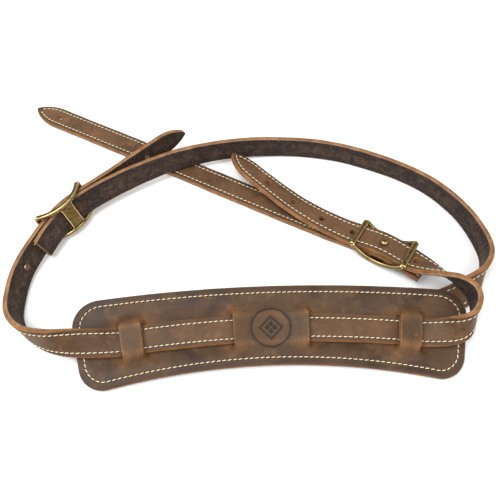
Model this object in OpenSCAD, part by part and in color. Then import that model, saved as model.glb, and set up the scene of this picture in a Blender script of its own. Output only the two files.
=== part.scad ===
// Leather instrument strap: a narrow two-ply strap woven through the six slots of a wide shoulder
// pad, with a cast buckle and a separate tail strap at each end, lying as a loop on a table.

/* [Straps] */
// Width of the centre strap and of both tails
strap_w = 19.05; // [18:0.05:19.4]
// Thickness of each of the two leather plies of a strap
ply_t = 2; // [1.6:0.1:2]
// Chamfer of the burnished strap edges
edge_chamfer = 0.5; // [0.2:0.1:0.8]
// Length of a pointed strap end
point_len = 22; // [16:1:26]
// Distance between adjusting holes
hole_pitch = 25.4; // [25:0.1:25.8]
// Radius of the adjusting holes
hole_r = 2.1; // [2.1:0.05:2.4]
// Radius of the hole that goes over a strap button
button_hole_r = 2.5; // [2:0.1:3]

/* [Pad] */
// Length of the shoulder pad along its middle arc
pad_len = 264.4; // [258:0.2:268]
// Thickness of the pad's face leather and of its lining leather
pad_ply_t = 2; // [1.6:0.1:2]
// Radius of the arc that the slots lie on
pad_arc_r = 800; // [760:10:900]
// How much wider the pad spreads with each millimetre outwards, as a share of its length
pad_fan = 0.0006; // [0:0.0001:0.001]
// Radius of the pad's upper corners
upper_corner_r = 20; // [18:1:26]
// Radius of the pad's lower corners
lower_corner_r = 17; // [12:1:20]
// Distance from the pad's edge to its seam
pad_seam_inset = 5; // [3:0.5:6]

/* [Buckles] */
// Distance between the two end bars, centre to centre
bar_spacing = 39.5; // [39:0.5:40]
// Clear width between the side rails
rail_gap = 21; // [20.8:0.1:21.4]
// Thickness of the bowed side rails, across the strap
rail_t = 2.3; // [2:0.1:2.6]
// Depth of the side rails, along the stud
rail_depth = 3.4; // [2.6:0.1:3.8]
// Width of the flat centre bar along the strap
centre_bar_w = 9.6; // [8:0.2:10]
// Radius of the stud
stud_r = 1.9; // [1.8:0.05:2]

/* [Hidden] */
half_w = strap_w / 2;
seam_inset = 3.2;            // strap edge to seam line
thread_w = 0.8;              // width of a thread line
thread_h = 0.3;              // height that thread stands above the leather
curve_steps = 5;             // stations between two route points
clear = 0.45;                // gap between a buckle and the leather
tip_half_w = 0.7;            // half width left at the very point
cyl_fn = 48;

// Moves the middle of the whole footprint to the origin
footprint_shift = [5.26, -14.41, 0];

// Route points: [x, y, lean, lift]. Lean is the outward tilt of a strap standing on its edge, so
// 90 or -90 lies flat. Lift is the height of the strap's lowest corner above the table.
left_route = [
    [-86.6, -78.5, -83, 4.15], [-98, -79.8, -79, 5.9], [-109, -80.6, -68, 7.2],
    [-121.5, -81, -48, 7], [-135.5, -79.4, -24, 4.5], [-151.2, -73, -2, 1], [-162, -60.5, 13, 0.1],
    [-164.3, -44, 18, 0.1], [-163, -28, 17, 0.7], [-157.8, -12.5, 17, 2], [-149.4, 5.4, 18, 3.1],
    [-139.2, 22.6, 18, 3.4], [-125.4, 36.5, 18, 3.5], [-106.8, 52.3, 15, 4.2], [-89.7, 68.5, 12, 4.7],
    [-72.3, 85, 9, 4.8], [-54.5, 99.5, 6, 4.9]
];
right_route = [
    [115.7, -71.5, -83, 4.15], [126, -72.3, -79, 6.5], [138.3, -72.2, -56, 8.6], [147.3, -67.3, -22, 9.8],
    [151.5, -58.2, -5, 11.4], [151.2, -48.5, -2, 13], [144, -39.9, -12, 13], [134.3, -33.2, -36, 11],
    [126.3, -27, -62, 9.8], [119.3, -20.5, -82, 9.3], [113.3, -15.3, -88, 9.2], [98.3, -5, -90, 9.75],
    [82.3, 5, -90, 5], [73.3, 8.7, -90, 4.9], [54.2, 18.6, -85, 5.2], [35, 31.2, -78, 5.4],
    [16, 47.5, -74, 6], [0, 62, -70, 7], [-14, 77, -66, 8]
];
long_tail_route = [
    [-150.9, -10, 17, 3.4], [-145.45, 3.45, 18, 4.2], [-135.87, 19.9, 18, 4.4],
    [-122.4, 33.3, 18, 4.6], [-105, 45.9, 16, 4.8], [-84, 58.6, 13, 4.8], [-56, 71.7, 9, 4.8],
    [-18, 83, 7, 3], [24, 88, 5, 0.3], [66, 83.6, 3, 0.1], [104.8, 70.2, 1, 0.1],
    [136.5, 52.4, 0, 0.1], [157.8, 30, 2, 0.1], [168.8, 8.3, 5, 0.1], [173, -12, 4, 0.1],
    [166.6, -27.4, -10, 0.1], [157.8, -37, -44, 0.1], [146, -44.1, -75, 0.1], [132, -48.1, -87, 0.1],
    [112, -50, -89, 0.1], [86, -50.3, -90, 0]
];
short_tail_route = [
    [125.5, -25.7, -86, 4.4], [113.5, -15.9, -88, 4.6], [98.7, -5.3, -90, 5.3], [82.5, 4.6, -90, 0.5],
    [73, 8.8, -90, 0.35], [60, 14.5, -90, 0.15], [10, 38.9, -90, 0.03], [-28, 57.8, -90, 0],
    [-62, 74.8, -90, 0], [-96, 91.8, -90, 0], [-141, 113.8, -90, 0], [-186, 136, -90, 0]
];

// Where each route is divided, in route points from its start
left_span_end = 4.5;
left_stud_at = 11;
left_flex_at = 12.1;
left_flex_gap = 0.055;        // opening at a divide, so that it can bend either way
left_end = 16;
right_span_end = 3.6;
right_stud_at = 11;
right_flex_at = 12.25;
right_flex_gap = 0.15;
right_end = 18;
long_end = 20;
short_flex_at = 9;
short_flex_gap = 0.025;
short_end = 11;
button_hole_inset = 24;      // point of a tail to its button hole

// Adjusting holes on either side of the stud: towards the pad and towards the strap's point
left_holes = [-2, -1, 1, 2, 3];
right_holes = [-1, 1, 2, 3, 4];

// Shoulder pad: its own frame has x along the pad, y up its slope and z out of its face
pad_origin = [14.3, -67.8, 5.05];
pad_turn = 2;                // turn about the vertical
pad_tilt = 7;                // the far edge is raised
pad_t = 2 * pad_ply_t;
slot_s = [26, 86, 101.5];    // slot positions along the arc, from the middle
slot_half = 10.6;            // half the length of a slot
slot_gap = 1.2;              // opening of a slot along the pad
slot_y = -0.4;               // height of the slots' arc above the pad's middle
bridge_lift = 5.7;           // rise of the leather over the strap
window_drop = 2.75;          // dip of the leather under the strap
woven_z = 3.5;               // middle of the strap at a slot, above the pad's underside
dent_len = 24;               // length over which the leather is pressed down past an end slot
logo_relax = 3.1;            // how far the wide bridge settles in its middle

// ---- routes and stations ----

function unit(v) = v / norm(v);

// Catmull-Rom point of a route at parameter u, which counts route points
function route_at(rows, u) =
    let (
        last = len(rows) - 1,
        i = min(floor(u), last - 1),
        k = u - i,
        b = rows[i],
        c = rows[i + 1],
        a = i > 0 ? rows[i - 1] : 2 * b - c,
        d = i + 2 <= last ? rows[i + 2] : 2 * c - b
    )
    0.5 * (2 * b + (c - a) * k + (2 * a - 5 * b + 4 * c - d) * k * k + (3 * b - a - 3 * c + d) * k * k * k);

// Middle of the strap at parameter u, resting its lowest corner at the stated lift
function middle_at(rows, u) =
    let (r = route_at(rows, u))
    [r[0], r[1], r[3] + half_w * abs(cos(r[2])) + ply_t * abs(sin(r[2]))];

// [point, along, across, out] at parameter u: side is 1 where the outside is to the right
function station(rows, side, u) =
    let (
        h = 0.02,
        p = middle_at(rows, u),
        t = unit(middle_at(rows, min(u + h, len(rows) - 1)) - middle_at(rows, max(u - h, 0))),
        o = unit(side * cross(t, [0, 0, 1])),
        up = unit(side * cross(o, t)),
        lean = route_at(rows, u)[2],
        d = cos(lean) * up + sin(lean) * o
    )
    [p, t, d, side * cross(t, d)];

// Half width of a strap at a distance from its pointed end
function point_half_w(dist) =
    let (k = min(dist / point_len, 1))
    tip_half_w + (half_w - tip_half_w) * pow(1 - pow(1 - k, 2.1), 0.8);

// Half width at parameter u, pointed at route parameter tip_u
function half_w_at(rows, u, tip_u) =
    tip_u < 0 ? half_w : point_half_w(norm(middle_at(rows, u) - middle_at(rows, tip_u)));

function spaced(u0, u1) =
    let (n = max(1, ceil((u1 - u0) * curve_steps)))
    [for (k = [0:n]) u0 + (u1 - u0) * k / n];

// Extra stations close together where a strap narrows to its point
function stations_to_tip(u0, u1) =
    concat(spaced(u0, u1 - 0.5), [for (k = [1:7]) u1 - 0.5 * pow(1 - k / 7, 1.6)]);

function place(st, a, b) = st[0] + a * st[2] + b * st[3];

// Parameter reached from u after walking a distance along a route in steps of du
function walk(rows, u, dist, du) =
    let (step = norm(middle_at(rows, u + du) - middle_at(rows, u)))
    dist <= step ? u + du * dist / step : walk(rows, u + du, dist - step, du);

// Parameter of the hole that is k holes from the stud
function hole_at(rows, stud, k) = walk(rows, stud, abs(k) * hole_pitch, sign(k) * 0.02);

// ---- closed sweeps ----

// Triangles of a tube of n rings with m points each, capped at both ends. Solids that share a
// twisted face cut it along the same diagonal: one of the two has rising = false.
function tube_faces(n, m, rising) = concat(
    [for (i = [1:m - 2]) [0, i, i + 1]],
    [for (r = [0:n - 2], i = [0:m - 1])
        let (j = (i + 1) % m, a = r * m + i, b = r * m + j, c = (r + 1) * m + j, d = (r + 1) * m + i)
        each rising ? [[a, c, b], [a, d, c]] : [[a, d, b], [b, d, c]]],
    [for (i = [1:m - 2]) let (o = (n - 1) * m) [o, o + i + 1, o + i]]
);

// Sweep through rings whose points run clockwise as seen along the sweep
module tube(rings, rising = false) {
    m = len(rings[0]);
    polyhedron(points = [for (r = rings) each r], faces = tube_faces(len(rings), m, rising));
}

function flip(ring) = [for (i = [len(ring) - 1:-1:0]) ring[i]];

function chamfer_at(w) = min(edge_chamfer, w / 4);

function seam_at(w) = max(w - seam_inset, w / 2);

function thread_half(w) = min(thread_w / 2, w / 5);

// Face ply section: outside edges burnished, with a point at each side of each seam line
function face_section(w) =
    let (c = chamfer_at(w), a = seam_at(w), h = thread_half(w))
    [
        [-w, 0], [-w, ply_t - c], [-w + c, ply_t], [-a - h, ply_t], [-a + h, ply_t],
        [a - h, ply_t], [a + h, ply_t], [w - c, ply_t], [w, ply_t - c], [w, 0]
    ];

function lining_section(w) =
    let (c = chamfer_at(w))
    [[w, 0], [w, c - ply_t], [w - c, -ply_t], [c - w, -ply_t], [-w, c - ply_t], [-w, 0]];

// Thread section on one side of a strap: side is 1 or -1
function thread_section(w, side) =
    let (a = side * seam_at(w), h = thread_half(w))
    [[a - h, ply_t], [a - h, ply_t + thread_h], [a + h, ply_t + thread_h], [a + h, ply_t]];

// kind is "face", "lining", or a thread's side
function section(kind, w) =
    kind == "face" ? face_section(w)
        : kind == "lining" ? lining_section(w)
        : thread_section(w, kind);

// Rings of a section placed at the stations of a route
function swept(rows, side, us, tip_u, kind) = [
    for (u = us)
        let (
            st = station(rows, side, u),
            w = half_w_at(rows, u, tip_u),
            ring = [for (q = section(kind, w)) place(st, q[0], q[1])]
        )
        side > 0 ? ring : flip(ring)
];

// One leather ply of a strap between two route parameters
module ply(rows, side, us, tip_u, kind) {
    tube(swept(rows, side, us, tip_u, kind), kind == "face");
}

// The two seam lines on the face of a strap, ending short of its point
module seam(rows, side, us, tip_u) {
    sewn = tip_u < 0 ? us : [for (u = us) if (half_w_at(rows, u, tip_u) > seam_inset + thread_w) u];
    for (s = [-1, 1])
        ply(rows, side, sewn, tip_u, s);
}

// Puts children at a station, x along the strap, y across it and z out of its face
module at_station(st, side) {
    x = side * st[1];
    y = st[2];
    z = st[3];
    multmatrix([
        [x[0], y[0], z[0], st[0][0]],
        [x[1], y[1], z[1], st[0][1]],
        [x[2], y[2], z[2], st[0][2]],
        [0, 0, 0, 1]
    ])
        children();
}

module hole_tool(r) {
    cylinder(r = r, h = 12 * ply_t, center = true, $fn = cyl_fn);
}

// Round holes through a strap at several route parameters
module holes(rows, side, at, r) {
    for (u = at)
        at_station(station(rows, side, u), side)
            hole_tool(r);
}

// ---- buckle frames ----

// Frame of a buckle: chord of the strap between its end bars, at the stud
function buckle_frame(rows, side, u) =
    let (
        st = station(rows, side, u),
        before = middle_at(rows, u - 1),
        after = middle_at(rows, u + 1),
        t = unit(after - before),
        d = unit(st[2] - (st[2] * t) * t)
    )
    [st[0], t, d, side * cross(t, d)];

left_buckle_at = buckle_frame(left_route, -1, left_stud_at);
right_buckle_at = buckle_frame(right_route, 1, right_stud_at);

// ---- shoulder pad ----

module in_pad_frame() {
    translate(pad_origin)
        rotate([0, 0, pad_turn])
            rotate([pad_tilt, 0, 0])
                children();
}

// Point of the pad at arc length s, height r from the slots' arc and z above the underside
function pad_point(s, r, z) =
    let (a = s * (1 + pad_fan * r) / pad_arc_r * 180 / PI, q = pad_arc_r + r)
    [q * sin(a), q * cos(a) - pad_arc_r + slot_y, z];

// Point of the pad's frame in the layout's frame
function pad_world(p) =
    let (
        y = p[1] * cos(pad_tilt) - p[2] * sin(pad_tilt),
        z = p[1] * sin(pad_tilt) + p[2] * cos(pad_tilt)
    )
    pad_origin + [p[0] * cos(pad_turn) - y * sin(pad_turn), p[0] * sin(pad_turn) + y * cos(pad_turn), z];

function corner_drop(s, r) =
    let (e = max(abs(s) - (pad_len / 2 - r), 0))
    r - sqrt(max(r * r - e * e, 0));

// The two long edges before their corners are rounded
function top_line(s) = 30.2 + 1.6 * pow(s / 100, 2);

function bottom_line(s) = -24.7 - 3.5 * pow(s / 100, 2);

function pad_top(s) = top_line(s) - corner_drop(s, upper_corner_r);

function pad_bottom(s) = bottom_line(s) + corner_drop(s, lower_corner_r);

// Part of the pad between two slots: 0 middle bridge, 1 window, 2 narrow bridge, 3 outer end
function pad_zone(s) =
    let (a = abs(s))
    a < slot_s[0] ? 0 : a < slot_s[1] ? 1 : a < slot_s[2] ? 2 : 3;

function wide_bridge_relax(s) = 1 - pow(s / slot_s[0], 2);

// Rise of the pad's leather along the strap's line
function pad_rise(s) =
    let (zone = pad_zone(s), out = (abs(s) - slot_s[2]) / dent_len)
    zone == 0 ? bridge_lift - logo_relax * wide_bridge_relax(s)
        : zone == 1 ? -window_drop
        : zone == 2 ? bridge_lift
        : -window_drop * max(0, 1 - out * out);

// Middle height of the woven strap above the pad's underside
function woven_at(s) =
    woven_z - (pad_zone(s) == 0 ? (logo_relax + 0.1) * wide_bridge_relax(s) : 0);

// Arc positions of the panel's columns, in runs between the slots
pad_runs = [
    [-pad_len / 2, -slot_s[2], 9], [-slot_s[2], -slot_s[1], 3], [-slot_s[1], -slot_s[0], 6],
    [-slot_s[0], slot_s[0], 10], [slot_s[0], slot_s[1], 6], [slot_s[1], slot_s[2], 3],
    [slot_s[2], pad_len / 2, 9]
];

function end_spacing(k) = sin(90 * k);

function run_columns(i) =
    let (
        run = pad_runs[i],
        first = i == 0,
        last = i == len(pad_runs) - 1,
        a = run[0] + (first ? 0 : slot_gap / 2),
        b = run[1] - (last ? 0 : slot_gap / 2),
        n = run[2]
    )
    [for (k = [0:n])
        let (f = k / n, g = first ? 1 - end_spacing(1 - f) : last ? end_spacing(f) : f)
        a + (b - a) * g];

pad_columns = [for (i = [0:len(pad_runs) - 1]) each run_columns(i)];
run_ends = [for (i = 0, n = 0; i < len(pad_runs); n = n + pad_runs[i][2] + 1, i = i + 1) n];

// Rows of the panel: [height from the slots' arc, share of the rise]
function pad_rows(s) =
    let (low = -slot_half - pad_bottom(s), high = pad_top(s) - slot_half)
    concat(
        [for (k = [0:3]) [pad_bottom(s) + low * k / 3, 0]],
        [[-slot_half + 0.7, 1], [0, 1], [slot_half - 0.7, 1]],
        [for (k = [0:3]) [slot_half + high * k / 3, 0]]
    );

row_count = 11;
slot_first_row = 3;
slot_last_row = 6;

function panel_points(z) = [
    for (s = pad_columns, row = pad_rows(s)) pad_point(s, row[0], z + row[1] * pad_rise(s))
];

function is_slot_column(c) = len([for (e = run_ends) if (e == c + 1) 1]) > 0;

// True where the panel has leather between column c and c + 1, row r and r + 1
function is_leather(c, r) =
    c >= 0 && c < len(pad_columns) - 1 && r >= 0 && r < row_count - 1
    && !(is_slot_column(c) && r >= slot_first_row && r <= slot_last_row);

function quad(a, b, c, d) = [[a, b, c], [a, c, d]];

// Triangles of the panel: its two faces, and a wall wherever leather meets a gap
function panel_faces() =
    let (n = len(pad_columns) * row_count, up = function(c, r) c * row_count + r)
    [for (c = [0:len(pad_columns) - 2], r = [0:row_count - 2]) if (is_leather(c, r))
        let (a = up(c, r), b = up(c, r + 1), d = up(c + 1, r + 1), e = up(c + 1, r))
        each concat(
            quad(n + a, n + b, n + d, n + e),
            quad(a, e, d, b),
            is_leather(c - 1, r) ? [] : quad(a, b, n + b, n + a),
            is_leather(c + 1, r) ? [] : quad(e, n + e, n + d, d),
            is_leather(c, r - 1) ? [] : quad(a, n + a, n + e, e),
            is_leather(c, r + 1) ? [] : quad(b, d, n + d, n + b)
        )];

// One leather layer of the pad between two heights
module panel(z0, z1) {
    polyhedron(points = concat(panel_points(z0), panel_points(z1)), faces = panel_faces());
}

// Closed seam line a fixed distance inside the pad's edge
module pad_seam() {
    n = 40;
    s_max = pad_len / 2 - pad_seam_inset;
    upper = [for (k = [0:n]) let (s = s_max * sin(90 * (2 * k / n - 1))) [s, seam_height(s, 1)]];
    lower = [for (k = [0:n]) let (s = -s_max * sin(90 * (2 * k / n - 1))) [s, seam_height(s, -1)]];
    for (part = [upper, lower])
        tube([for (i = [0:len(part) - 1]) seam_ring(part, i)]);
    side_seam(1, upper[n], lower[0]);
    side_seam(-1, lower[n], upper[0]);
}

function inner_drop(s, r) =
    let (e = max(abs(s) - (pad_len / 2 - r), 0), q = r - pad_seam_inset)
    q - sqrt(max(q * q - e * e, 0));

function seam_height(s, side) =
    side > 0
        ? top_line(s) - pad_seam_inset - inner_drop(s, upper_corner_r)
        : bottom_line(s) + pad_seam_inset + inner_drop(s, lower_corner_r);

function seam_ring(part, i) =
    let (
        n = len(part) - 1,
        a = part[max(i - 1, 0)],
        b = part[min(i + 1, n)],
        t = unit([b[0] - a[0], b[1] - a[1]]),
        w = thread_w / 2,
        l = [part[i][0] - t[1] * w, part[i][1] + t[0] * w],
        r = [part[i][0] + t[1] * w, part[i][1] - t[0] * w]
    )
    [
        pad_point(r[0], r[1], pad_t), pad_point(r[0], r[1], pad_t + thread_h),
        pad_point(l[0], l[1], pad_t + thread_h), pad_point(l[0], l[1], pad_t)
    ];

// Straight seam down one end of the pad
module side_seam(side, from, to) {
    part = [for (k = [0.01, 0.5, 0.99]) from * (1 - k) + to * k];
    tube([for (i = [0:2]) seam_ring(part, i)]);
}

// ---- centre strap inside the pad ----

woven_half = concat(
    [for (k = [1:4]) slot_s[0] * k / 4],
    [for (k = [1:3]) slot_s[0] + (slot_s[1] - slot_s[0]) * k / 3],
    [for (k = [1:2]) slot_s[1] + (slot_s[2] - slot_s[1]) * k / 2]
);
woven_columns = concat([for (i = [len(woven_half) - 1:-1:0]) -woven_half[i]], [0], woven_half);

function woven_ring(s, sec) = [for (q = sec) pad_point(s, q[0], woven_at(s) + q[1])];

module woven(sec, rising) {
    tube([for (s = woven_columns) woven_ring(s, sec)], rising);
}

// Strap between an end slot of the pad and the rest of a route, starting on the woven strap's end
module span(rows, side, us, kind) {
    rings = swept(rows, side, us, -1, kind);
    end = [for (p = woven_ring(side * slot_s[2], section(kind, half_w))) pad_world(p)];
    tube(concat([side > 0 ? end : flip(end)], [for (i = [1:len(rings) - 1]) rings[i]]), kind == "face");
}

// Seam lines show only in the two windows
module woven_seam() {
    for (w = [-1, 1], a = [-1, 1])
        tube([for (k = [0:4])
            let (s = w * (slot_s[0] + slot_s[1]) / 2 + (slot_s[1] - slot_s[0] - 2) * (k / 4 - 0.5))
            woven_ring(s, thread_section(half_w, a))]);
}

// ---- buckle ----

rail_y = (rail_gap + rail_t) / 2;
bow = 9.3;                   // end bars to centre bar, along the stud
bar_w = 4;
bar_t = 2.2;
centre_bar_t = 2;
stack_gap = 0.45;            // the inner strap's stitches hold the two straps apart
stack_t = 4 * ply_t + stack_gap;
centre_bar_z = ply_t - stack_t - clear - centre_bar_t / 2;
end_bar_z = centre_bar_z + bow;
rail_rise = bow + 0.3;
rail_bevel = 0.5;
rail_bend_r = (pow(bar_spacing / 2, 2) + pow(rail_rise, 2)) / (2 * rail_rise);
rail_angle = asin(bar_spacing / 2 / rail_bend_r);

// Rail section: a flat band with bevelled edges
module bevelled(w, t) {
    b = rail_bevel;
    x = w / 2;
    y = t / 2;
    polygon([
        [b - x, -y], [x - b, -y], [x, b - y], [x, y - b],
        [x - b, y], [b - x, y], [-x, y - b], [-x, b - y]
    ]);
}

// Bar section: a flat band with rounded edges
module stadium(w, t) {
    square([w - t, t], center = true);
    for (x = [-1, 1])
        translate([x * (w - t) / 2, 0])
            circle(d = t, $fn = cyl_fn);
}

module cross_bar(w, t, z) {
    translate([0, 0, z])
        rotate([90, 0, 0])
            linear_extrude(2 * rail_y, center = true)
                stadium(w, t);
}

module side_rail() {
    translate([0, 0, end_bar_z - rail_rise + rail_bend_r])
        rotate([90, 0, 0])
            rotate([0, 0, -90 - rail_angle])
                rotate_extrude(angle = 2 * rail_angle, $fn = 96)
                    translate([rail_bend_r, 0])
                        bevelled(rail_depth, rail_t);
}

// Flat bar under the straps, with rounded inside corners where it meets the rails
module centre_plate() {
    web_r = 2.4;
    translate([0, 0, centre_bar_z - centre_bar_t / 2])
        linear_extrude(centre_bar_t)
            difference() {
                square([centre_bar_w + 2 * web_r, 2 * rail_y], center = true);
                for (x = [-1, 1])
                    translate([x * (centre_bar_w / 2 + web_r), 0])
                        rotate(90)
                            stadium(rail_gap, 2 * web_r);
            }
}

// Stud with a rounded head, standing on the centre bar
module stud() {
    top = ply_t + 0.3;
    translate([0, 0, centre_bar_z])
        cylinder(r = stud_r, h = top - centre_bar_z, $fn = cyl_fn);
    rotate_extrude($fn = cyl_fn)
        polygon([
            [0, top - 0.1], [stud_r, top - 0.1], [2.45, top + 0.4], [2.5, top + 1],
            [2.2, top + 1.6], [1.4, top + 2.1], [0, top + 2.3]
        ]);
}

// One casting: two end bars over the straps, bowed rails, a centre bar under them and a stud
module buckle() {
    for (x = [-1, 1])
        translate([x * bar_spacing / 2, 0, 0])
            cross_bar(bar_w, bar_t, end_bar_z);
    centre_plate();
    for (y = [-1, 1])
        translate([0, y * rail_y, 0])
            side_rail();
    stud();
}

// ---- colours ----

grain = [0.47, 0.36, 0.26];
flesh = [0.3, 0.25, 0.22];
thread = [0.93, 0.9, 0.8];
brass = [0.6, 0.5, 0.3];

// ---- nodes ----

module set_down() {
    translate(footprint_shift)
        children();
}

// A ply of one strap with its adjusting holes and its stud hole
module holed_ply(rows, side, us, tip_u, kind, at, stud_at) {
    set_down()
        difference() {
            ply(rows, side, us, tip_u, kind);
            holes(rows, side, at, hole_r);
            at_station(stud_at, side)
                hole_tool(hole_r);
        }
}

left_span_us = spaced(0, left_span_end);
left_arm_us = spaced(left_span_end, left_flex_at);
left_tip_us = stations_to_tip(left_flex_at + left_flex_gap, left_end);
right_span_us = spaced(0, right_span_end);
right_arm_us = spaced(right_span_end, right_flex_at);
right_tip_us = stations_to_tip(right_flex_at + right_flex_gap, right_end);
long_tail_us = stations_to_tip(0, long_end);
long_tail_hole = walk(long_tail_route, long_end, button_hole_inset, -0.02);
short_tail_us = spaced(0, short_flex_at);
button_end_us = stations_to_tip(short_flex_at + short_flex_gap, short_end);

module pad_face() {
    color(grain)
        set_down()
            in_pad_frame()
                panel(pad_ply_t, pad_t);
}

module pad_lining() {
    color(flesh)
        set_down()
            in_pad_frame()
                panel(0, pad_ply_t);
}

module pad_seam_thread() {
    color(thread)
        set_down()
            in_pad_frame()
                pad_seam();
}

module woven_strap_face() {
    color(grain)
        set_down()
            in_pad_frame()
                woven(face_section(half_w), true);
}

module woven_strap_lining() {
    color(flesh)
        set_down()
            in_pad_frame()
                woven(lining_section(half_w), false);
}

module woven_strap_thread() {
    color(thread)
        set_down()
            in_pad_frame()
                woven_seam();
}

module left_span(kind) {
    set_down()
        span(left_route, -1, left_span_us, kind);
}

module right_span(kind) {
    set_down()
        span(right_route, 1, right_span_us, kind);
}

module left_span_face() {
    color(grain) left_span("face");
}

module left_span_lining() {
    color(flesh) left_span("lining");
}

module left_span_thread() {
    color(thread)
        for (s = [-1, 1])
            left_span(s);
}

module right_span_face() {
    color(grain) right_span("face");
}

module right_span_lining() {
    color(flesh) right_span("lining");
}

module right_span_thread() {
    color(thread)
        for (s = [-1, 1])
            right_span(s);
}

function towards_pad(rows, stud, list) = [for (k = list) if (k < 0) hole_at(rows, stud, k)];

function towards_point(rows, stud, list) = [for (k = list) if (k > 0) hole_at(rows, stud, k)];

module left_arm(kind) {
    holed_ply(left_route, -1, left_arm_us, -1, kind,
        towards_pad(left_route, left_stud_at, left_holes), left_buckle_at);
}

module right_arm(kind) {
    holed_ply(right_route, 1, right_arm_us, -1, kind,
        towards_pad(right_route, right_stud_at, right_holes), right_buckle_at);
}

module left_arm_face() {
    color(grain) left_arm("face");
}

module left_arm_lining() {
    color(flesh) left_arm("lining");
}

module left_arm_thread() {
    color(thread) set_down() seam(left_route, -1, left_arm_us, -1);
}

module right_arm_face() {
    color(grain) right_arm("face");
}

module right_arm_lining() {
    color(flesh) right_arm("lining");
}

module right_arm_thread() {
    color(thread) set_down() seam(right_route, 1, right_arm_us, -1);
}

module left_tip(kind) {
    set_down()
        difference() {
            ply(left_route, -1, left_tip_us, left_end, kind);
            holes(left_route, -1, towards_point(left_route, left_stud_at, left_holes), hole_r);
        }
}

module right_tip(kind) {
    set_down()
        difference() {
            ply(right_route, 1, right_tip_us, right_end, kind);
            holes(right_route, 1, towards_point(right_route, right_stud_at, right_holes), hole_r);
        }
}

module left_tip_face() {
    color(grain) left_tip("face");
}

module left_tip_lining() {
    color(flesh) left_tip("lining");
}

module left_tip_thread() {
    color(thread) set_down() seam(left_route, -1, left_tip_us, left_end);
}

module right_tip_face() {
    color(grain) right_tip("face");
}

module right_tip_lining() {
    color(flesh) right_tip("lining");
}

module right_tip_thread() {
    color(thread) set_down() seam(right_route, 1, right_tip_us, right_end);
}

module long_tail(kind) {
    set_down()
        difference() {
            ply(long_tail_route, -1, long_tail_us, long_end, kind);
            holes(long_tail_route, -1, [long_tail_hole], button_hole_r);
            at_station(left_buckle_at, -1)
                hole_tool(hole_r);
        }
}

module long_tail_face() {
    color(grain) long_tail("face");
}

module long_tail_lining() {
    color(flesh) long_tail("lining");
}

module long_tail_thread() {
    color(thread) set_down() seam(long_tail_route, -1, long_tail_us, long_end);
}

module short_tail_face() {
    color(grain) holed_ply(short_tail_route, 1, short_tail_us, -1, "face", [], right_buckle_at);
}

module short_tail_lining() {
    color(flesh) holed_ply(short_tail_route, 1, short_tail_us, -1, "lining", [], right_buckle_at);
}

module short_tail_thread() {
    color(thread) set_down() seam(short_tail_route, 1, short_tail_us, -1);
}

module button_end(kind) {
    set_down()
        difference() {
            ply(short_tail_route, 1, button_end_us, short_end, kind);
            holes(short_tail_route, 1, [walk(short_tail_route, short_end, button_hole_inset, -0.02)],
                button_hole_r);
        }
}

module button_end_face() {
    color(grain) button_end("face");
}

module button_end_lining() {
    color(flesh) button_end("lining");
}

module button_end_thread() {
    color(thread) set_down() seam(short_tail_route, 1, button_end_us, short_end);
}

module left_buckle() {
    color(brass) set_down() at_station(left_buckle_at, -1) buckle();
}

module right_buckle() {
    color(brass) set_down() at_station(right_buckle_at, 1) buckle();
}

pad_face();
pad_lining();
pad_seam_thread();
woven_strap_face();
woven_strap_lining();
woven_strap_thread();
left_span_face();
left_span_lining();
left_span_thread();
right_span_face();
right_span_lining();
right_span_thread();
left_arm_face();
left_arm_lining();
left_arm_thread();
right_arm_face();
right_arm_lining();
right_arm_thread();
left_tip_face();
left_tip_lining();
left_tip_thread();
right_tip_face();
right_tip_lining();
right_tip_thread();
long_tail_face();
long_tail_lining();
long_tail_thread();
short_tail_face();
short_tail_lining();
short_tail_thread();
button_end_face();
button_end_lining();
button_end_thread();
left_buckle();
right_buckle();
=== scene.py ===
"""Looks of the leather instrument strap: leather, thread, brass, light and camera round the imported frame."""

import math
import random

import bpy
import numpy as np
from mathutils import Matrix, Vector


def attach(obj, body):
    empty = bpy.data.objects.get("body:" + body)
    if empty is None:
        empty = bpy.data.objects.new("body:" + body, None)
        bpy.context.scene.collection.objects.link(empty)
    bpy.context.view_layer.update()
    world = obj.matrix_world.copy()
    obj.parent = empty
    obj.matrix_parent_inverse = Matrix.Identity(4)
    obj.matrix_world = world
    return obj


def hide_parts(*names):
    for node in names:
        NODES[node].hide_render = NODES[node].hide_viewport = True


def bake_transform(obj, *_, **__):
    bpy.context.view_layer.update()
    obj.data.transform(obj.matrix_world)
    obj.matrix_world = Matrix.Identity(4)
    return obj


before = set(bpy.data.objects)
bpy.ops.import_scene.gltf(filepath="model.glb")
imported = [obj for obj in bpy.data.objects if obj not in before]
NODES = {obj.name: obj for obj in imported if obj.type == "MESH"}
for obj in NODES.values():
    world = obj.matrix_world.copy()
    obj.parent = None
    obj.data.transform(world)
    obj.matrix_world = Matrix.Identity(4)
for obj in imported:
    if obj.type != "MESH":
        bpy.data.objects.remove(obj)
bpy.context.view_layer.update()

MM = 0.001
UP = np.array([0.0, 0.0, 1.0])

# ---- dimensions, in millimetres, as in the design ----

SHIFT = np.array([5.26, -14.41, 0])
HALF_W = 19.05 / 2
PLY = 2.0
POINT_LEN = 22.0
TIP_HALF_W = 0.7
SEAM_INSET = 3.2
STITCH_PITCH = 3.65
HOLE_PITCH = 25.4
HOLE_R = 2.1
BUTTON_HOLE_R = 2.5
BUTTON_HOLE_INSET = 24.0
STATION = 1.0
FINE_STATION = 0.4

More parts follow.
